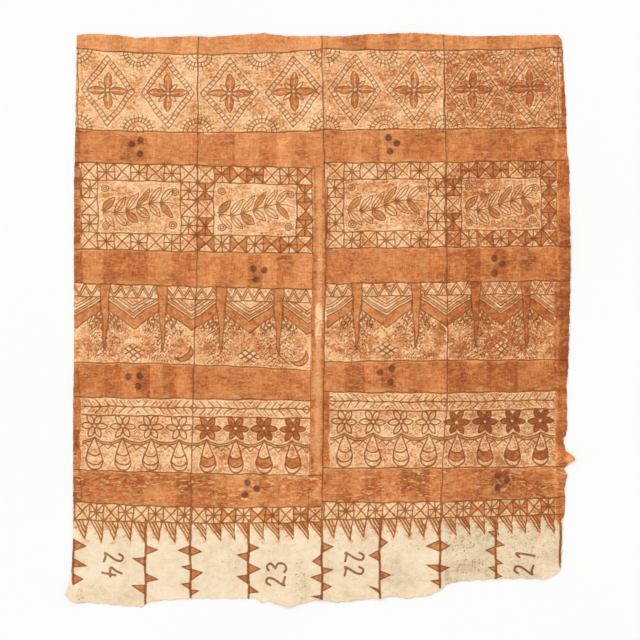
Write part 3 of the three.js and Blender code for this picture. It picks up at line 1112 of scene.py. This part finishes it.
def paint(x, y):
    """Every layer of the drawing at the given points: distances in millimetres, and the rubbing."""
    at = SimpleNamespace(x=x, y=y, section=np.searchsorted(SECTION_ENDS, x))
    at.line, at.solid, at.wash, at.bare = (np.full(x.shape, FAR) for _ in range(4))
    at.rub = SECTION_RUB[at.section]
    line_x, line_y = np.array(SECTION_LINES[1])[::-1].T
    at.seam = np.interp(y, line_y, line_x)
    at.between = at.seam - x
    at.strip_head = row_line("frame head", 0, x)
    at.in_strip = (at.between > 0) & (at.between < STRIP) & (y > STRIP_END) & (y < at.strip_head)
    brush_bands(at)
    at.dyed = -at.bare
    brush_strip(at)
    brush_margins(at)
    for half, here in halves(at):
        for row in ROWS:
            print_row(at, half, here, row)
    for place in WIPED:
        gone = oval(x, y, *place) < 1
        at.line[gone] = at.solid[gone] = FAR
    # Soft patches of more or less dye, among them the painted highlight on the spur's tip.
    at.rub = patched(at.rub, x, y, RUBBED_AND_HIGHLIGHT)
    rule_lines(at)
    mark_end(at)
    at.dab = dabs(x, y)
    at.soil = SECTION_SOIL[at.section] * smooth((-230 - y) / 80)
    return {name: np.clip(getattr(at, name), -FAR, FAR) for name in LAYERS}


trial = paint(np.array([0.0, 300.0]), np.array([700.0, -1000.0]))
print("paint layers:", {name: np.round(values, 1).tolist() for name, values in trial.items()})

# %% [markdown]
# ## The bark cloth
# Beaten bark is matt and a little fuzzy. The bare cloth is cream with crossed fibres. Dye rubbed on
# over a tablet catches in blotches and grit, so the ground between strokes is mottled from cream to
# orange. Plain bands are brushed on, streaky, with pale flecks where the brush missed. Strokes are
# dark brown and broken. Real fibres are under a millimetre: here they are drawn six or seven
# millimetres wide so that they show in the picture.
#
# Every grain and dye is a row of a table, and a short loop adds the nodes for each table.

# %% Grains of the bark and the dye
cloth, tree = blank_material("dyed_bark_cloth")
place = add(tree, "ShaderNodeTexCoord").outputs["Object"]
value = {name: add(tree, "ShaderNodeAttribute", attribute_name=name).outputs["Fac"] for name in LAYERS}
value["up"] = add(tree, "ShaderNodeSeparateXYZ", {0: place}).outputs["Y"]

# Columns: breadth and height of the features in millimetres, detail, roughness, how far they are bent.
GRAINS = {
    "cloud": (120, 100, 3.0, 0.55, 0.0),
    "stain": (75, 45, 2.0, 0.55, 0.0),
    "blotch": (24, 20, 3.0, 0.6, 0.0),
    "hue": (15, 15, 2.0, 0.55, 0.0),
    "grit": (9, 8, 2.0, 0.6, 0.0),
    "pepper": (6, 6, 1.0, 0.55, 0.0),
    "spare": (26, 16, 1.0, 0.5, 0.6),
    "scrape": (26, 8, 3.0, 0.65, 1.2),
    "scuff": (30, 10, 2.0, 0.5, 1.1),
    "fibre": (7, 24, 3.0, 0.65, 1.2),
    "beater": (11, 150, 2.0, 0.55, 0.0),
    "weft": (40, 6, 2.0, 0.6, 0.4),
    "warp": (6, 40, 2.0, 0.6, 0.4),
}
for name, (across, down, detail, rough, bent) in GRAINS.items():
    scale = (1 / (across * MM), 1 / (down * MM), 1.0)
    spread = add(tree, "ShaderNodeMapping", {"Vector": place, "Scale": scale}).outputs[0]
    settings = {"Vector": spread, "Scale": 1.0, "Detail": detail, "Roughness": rough, "Distortion": bent}
    value[name] = add(tree, "ShaderNodeTexNoise", settings).outputs["Fac"]
print("grains:", len(GRAINS), "finest in mm:", min(min(row[:2]) for row in GRAINS.values()))

# %% [markdown]
# A value that decides something, such as how much dye took, is a weighted sum of the layers and
# grains. Most are then turned into a share by a soft step from one sum to another, and some shares
# hold only where another one does.

# %% Where the dye took
# Columns: terms with their factors, the sums at which a share is 0 and 1, the share that limits it.
# "even" is the same everywhere, so its factor is simply added.
value["even"] = 1.0
SHARES = {
    "ragged": ({"grit": 7.0, "blotch": 5.0, "even": -6.0},),
    # The cut edges of strokes, patches, bands, the undyed end and the dabs.
    "in_line": ({"line": 1.0, "ragged": 0.4}, (1.7, -1.2)),
    "in_solid": ({"solid": 1.0, "ragged": 0.7}, (1.6, -1.8)),
    "in_wash": ({"wash": 1.0, "ragged": 1.3}, (3.0, -3.0)),
    "in_bare": ({"bare": 1.0, "blotch": 60.0, "even": -30.0}, (8.0, -14.0)),
    "thick": ({"blotch": 0.6, "grit": 0.4}, (0.0, 0.6)),
    "in_dab": ({"dab": 1.0, "ragged": 0.3}, (2.4, -2.8), "thick"),
    # Strokes: broken, and reddish or olive in places.
    "broken": ({"blotch": 0.7, "cloud": 0.4, "grit": 0.7}, (0.7, 1.08)),
    "drawn": ({"broken": 0.9, "rub": 0.35, "even": -0.05},),
    "reddish": ({"hue": 1.0}, (0.47, 0.36)),
    "olive": ({"hue": 1.0}, (0.53, 0.64)),
    # The ground between strokes: cream where the dye missed, orange to brown where it took.
    "near_line": ({"line": 1.0}, (8.0, 2.5)),
    "spared": ({"rub": 0.34, "even": 0.04}, None, "near_line"),
    "taken": ({
        "rub": 0.8, "spared": -1.0, "cloud": 1.2, "blotch": 1.4, "grit": 1.75, "stain": 0.8, "even": -2.465,
    },),
    "yellowed": ({"hue": 1.0}, (0.54, 0.7)),
    "pinkish": ({"hue": 1.0}, (0.46, 0.3)),
    "peppered": ({"pepper": 0.8, "fibre": 0.35, "soil": 0.06}, (0.64, 0.74)),
    "specks": ({"rub": 0.3, "soil": 0.8, "even": 0.28}, None, "peppered"),
    "missed": ({"spare": 0.7, "blotch": 0.5, "near_line": 0.04}, (0.7, 0.77)),
    # Plain bands: brushed on, with scraped pale flecks that gather in patches, most in the lowest band.
    "depth": ({
        "rub": 0.74, "cloud": 1.2, "blotch": 1.2, "weft": 0.65, "warp": 0.8, "grit": 0.8, "even": -2.165,
    },),
    "golden": ({"stain": 1.0}, (0.52, 0.68)),
    "patchy": ({"stain": 0.7, "blotch": 0.5}, (0.58, 0.76)),
    "worn": ({"wash": 1.0}, (-24.0, -3.0), "patchy"),
    "gathered": ({"cloud": 1.0, "blotch": 0.4}, (0.62, 0.84)),
    "scraped": ({"scuff": 0.9, "blotch": 0.4, "weft": 0.2, "warp": 0.2}, (0.83, 1.06)),
    "lowest": ({"up": 1.0}, (-0.5, -0.6)),
    "flecked": ({"gathered": 0.36, "rub": -0.2, "lowest": 0.42, "even": 0.2}, None, "scraped"),
    # The undyed end: cream bark, soiled in patches and pecked with brown.
    "soiled": ({"rub": 0.6, "cloud": 1.3, "blotch": 0.9, "grit": 0.7, "even": -1.25},),
    "pecks": ({"grit": 0.75, "fibre": 0.25, "rub": 0.14}, (0.66, 0.74)),
    # Solid patches, the threads that show through everything, and the relief of the surface.
    "heavy": ({"rub": 0.9, "blotch": 1.7, "grit": 1.2, "stain": 0.9, "even": -2.0},),
    "threads": ({"beater": 0.5, "fibre": 0.5}, (0.46, 0.3)),
    "relief": ({"grit": 0.5, "beater": 0.6, "scrape": 0.35},),
}
for name, (terms, *more) in SHARES.items():
    step, limit = (*more, None, None)[:2]
    total = 0.0
    for term, factor in terms.items():
        inputs = {0: value[term], 1: factor, 2: total}
        total = add(tree, "ShaderNodeMath", inputs, operation="MULTIPLY_ADD").outputs[0]
    if step:
        inputs = {"Value": total, "From Min": step[0], "From Max": step[1]}
        total = add(tree, "ShaderNodeMapRange", inputs, interpolation_type="SMOOTHSTEP").outputs[0]
    if limit:
        total = add(tree, "ShaderNodeMath", {0: total, 1: value[limit]}, operation="MULTIPLY").outputs[0]
    value[name] = total
print("sums and shares:", len(SHARES))

# %% Dyes, and what lies over what
# Columns: the value that the colour follows, then pairs of value and sRGB colour.
DYES = {
    "stroke": ("drawn", (0.0, "B57A45"), (0.45, "96521F"), (1.0, "743A12")),
    "cloth": (
        "taken", (0.0, "FCD3A4"), (0.22, "F3BD89"), (0.45, "E29F68"), (0.7, "C67B45"), (1.0, "A2552D"),
    ),
    "band": (
        "depth", (0.0, "F0A86E"), (0.13, "E8985F"), (0.35, "D98950"), (0.65, "C06B35"), (1.0, "974A20"),
    ),
    "bare bark": ("soiled", (0.0, "F7E4C6"), (0.35, "F0D7B4"), (0.7, "DCC3A0"), (1.0, "BC9E7A")),
    "patch": ("heavy", (0.0, "DD9658"), (0.35, "CB7C44"), (0.7, "B5612F"), (1.0, "914A27")),
}
# In the order of laying. Columns: the colour below, the share it is covered by, how far, the colour above.
COVERED = [
    ("stroke", "reddish", 0.5, "9C4A24"),
    ("stroke", "olive", 0.5, "6E4718"),
    ("cloth", "yellowed", 0.22, "EBCB8A"),
    ("cloth", "pinkish", 0.25, "EBA788"),
    ("cloth", "soil", 0.34, "D3A982"),
    ("cloth", "specks", 1.0, "8E4C1C"),
    ("cloth", "missed", 0.8, "FBD0A2"),
    ("band", "golden", 0.4, "D2924E"),
    ("band", "worn", 0.5, "EBB273"),
    ("band", "flecked", 1.0, "F4BD80"),
    ("cloth", "in_wash", 1.0, "band"),
    ("bare bark", "pecks", 0.6, "9A6A48"),
    ("cloth", "in_bare", 1.0, "bare bark"),
    ("cloth", "in_solid", 0.92, "patch"),
    ("cloth", "in_line", 0.93, "stroke"),
    ("cloth", "in_dab", 0.9, "683A26"),
    ("cloth", "threads", 0.14, "7A4A2A"),
]
colour = {}
for name, (follows, *stops) in DYES.items():
    made = add(tree, "ShaderNodeValToRGB", {"Fac": value[follows]})
    elements = made.color_ramp.elements
    while len(elements) < len(stops):
        elements.new(0.5)
    for element, (at, hexa) in zip(elements, stops):
        element.position = at
        element.color = linear(hexa)
    colour[name] = made.outputs["Color"]
for below, share, far, above in COVERED:
    part = add(tree, "ShaderNodeMath", {0: value[share], 1: far}, operation="MULTIPLY").outputs[0]
    laid = colour[above] if above in colour else linear(above)
    colour[below] = add(
        tree, "ShaderNodeMix", {0: part, 6: colour[below], 7: laid}, data_type="RGBA"
    ).outputs[2]

bump = add(tree, "ShaderNodeBump", {"Strength": 0.5, "Distance": 0.0016, "Height": value["relief"]})
shader = add(tree, "ShaderNodeBsdfPrincipled", {
    "Base Color": colour["cloth"], "Roughness": 0.93, "Specular IOR Level": 0.18, "Sheen Weight": 0.08,
    "Sheen Roughness": 0.6, "Normal": bump.outputs[0],
})
add(tree, "ShaderNodeOutputMaterial", {"Surface": shader.outputs[0]})
print("nodes in the bark cloth:", len(tree.nodes))

# %% [markdown]
# ## The sheet's mesh
# The drawing lives on the mesh's points, so the points have to lie closer than the strokes are broad.
# One object could not hold so many, so the sheet is made in its four sections, each ending on a fold
# where a dark line hides the join. The face is fine, close in the drawn rows and wider in the plain
# bands. The underside is coarse and shares every few columns and rows with it, and a rim of
# many-sided faces closes the slab.

# %% Rows and columns of the mesh
COLUMNS = 148
COLUMN_STEP = 4  # columns of the face to one of the underside
ROW_STEP = 8
# Columns: from this height down, rows to the next height.
ROW_COUNTS = [
    (HALF_HIGH, 4), (1124, 113), (758, 12), (663, 124), (264, 12), (169, 119), (-216, 8),
    (-280, 113), (-646, 9), (-719, 61), (-915, 65), (-HALF_HIGH, 0),
]


def row_places():
    """Heights of the mesh's rows from the lower edge up, evenly spread inside each stretch."""
    stretches = [
        np.linspace(high, low, count, endpoint=False)
        for (high, count), (low, _) in zip(ROW_COUNTS, ROW_COUNTS[1:])
    ]
    return np.append(np.concatenate(stretches), -HALF_HIGH)[::-1]


def section_grid(number):
    """The plain rectangle's points of one section: columns spread between its two folds."""
    y = row_places()[:, None]
    left = np.full_like(y, -HALF_WIDE) if number == 0 else fold_line(FOLDS[number - 1], y)
    right = np.full_like(y, HALF_WIDE) if number == 3 else fold_line(FOLDS[number], y)
    across = np.linspace(0, 1, COLUMNS + 1)[None, :]
    return left + (right - left) * across, np.broadcast_to(y, (y.size, COLUMNS + 1))


print("points across a section:", COLUMNS + 1, "and along it:", row_places().size)

# %% Cockle and crease
# The pinched crease near the lower edge: where it runs, its height, and its breadth to one side.
PINCH = [(262, -1000), (247, -1065), (238, -1140)]
PINCH_HIGH = 7.0
PINCH_HALF = 8.0


def creases(x, y):
    """The cockle of beaten bark, under two millimetres high, and the one pinched crease."""
    cockle = 0.5 * np.sin(x / 41 + 1.1 * np.sin(y / 67)) * np.sin(y / 53 + 0.9 * np.sin(x / 77))
    pinch = PINCH_HIGH * bell(to_chain(x, y, PINCH), PINCH_HALF)
    return 0.6 + cockle + 0.25 * np.sin(x / 19 + y / 31) + pinch


print("the pinched crease is", PINCH_HIGH, "mm high")

# %% Sections of the sheet
def section_mesh(number):
    """One section as a closed slab, with the drawing's layers on its points."""
    plain_x, plain_y = section_grid(number)
    x, y = torn(plain_x, plain_y)
    rest = rest_height(plain_x, plain_y)
    high, wide = x.shape
    face = np.stack([x, y, rest + THICK + np.maximum(creases(x, y), 0.0)], axis=-1)
    under = np.stack([x, y, rest], axis=-1)[::ROW_STEP, ::COLUMN_STEP]
    points = np.concatenate([face.reshape(-1, 3), under.reshape(-1, 3)]) * MM

    index = np.arange(high * wide).reshape(high, wide)
    below = index.size + np.arange(under.shape[0] * under.shape[1]).reshape(under.shape[:2])
    quads = np.stack([index[:-1, :-1], index[:-1, 1:], index[1:, 1:], index[1:, :-1]], axis=-1)
    backs = np.stack([below[:-1, :-1], below[1:, :-1], below[1:, 1:], below[:-1, 1:]], axis=-1)
    rim = []
    for fine, coarse, step in (
        (index[0], below[0], COLUMN_STEP), (index[:, -1], below[:, -1], ROW_STEP),
        (index[-1, ::-1], below[-1, ::-1], COLUMN_STEP), (index[::-1, 0], below[::-1, 0], ROW_STEP),
    ):
        for k in range(len(coarse) - 1):
            top = fine[k * step : (k + 1) * step + 1][::-1].tolist()
            rim.append(top + [int(coarse[k]), int(coarse[k + 1])])
    smooth_faces = quads.reshape(-1, 4).tolist() + backs.reshape(-1, 4).tolist()

    mesh = bpy.data.meshes.new(f"bark_cloth_section_{number + 1}")
    mesh.from_pydata(points, [], smooth_faces + rim)
    mesh.polygons.foreach_set("use_smooth", [True] * len(smooth_faces) + [False] * len(rim))
    drawing = paint(x.ravel(), y.ravel())
    back = {"line": FAR, "solid": FAR, "wash": FAR, "bare": -FAR, "dab": FAR, "rub": 0.0, "soil": 0.0}
    for name, values in drawing.items():
        whole = np.concatenate([values, np.full(below.size, back[name])])
        mesh.attributes.new(name, "FLOAT", "POINT").data.foreach_set("value", whole.astype(np.float32))
    mesh.materials.append(cloth)
    mesh.update()
    return mesh


sections = []
for number in range(4):
    mesh = section_mesh(number)
    piece = bpy.data.objects.new(mesh.name, mesh)
    scene.collection.objects.link(piece)
    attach(piece, "root")
    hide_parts("bark_cloth")
    sections.append(piece)
    triangles = sum(len(p.vertices) - 2 for p in mesh.polygons)
    print(piece.name, "triangles:", triangles)

# %% [markdown]
# ## The sheet's sizes
# Each section is a length of flat cloth that simply lies on the floor, so its flat size is its own
# width and the sheet's height.

# %% Sheets and sizes
for piece in sections:
    corner = np.array([v[:] for v in piece.bound_box])
    spread = corner.max(axis=0) - corner.min(axis=0)
    print(piece.name, "flat size in metres:", np.round(spread[:2], 3))
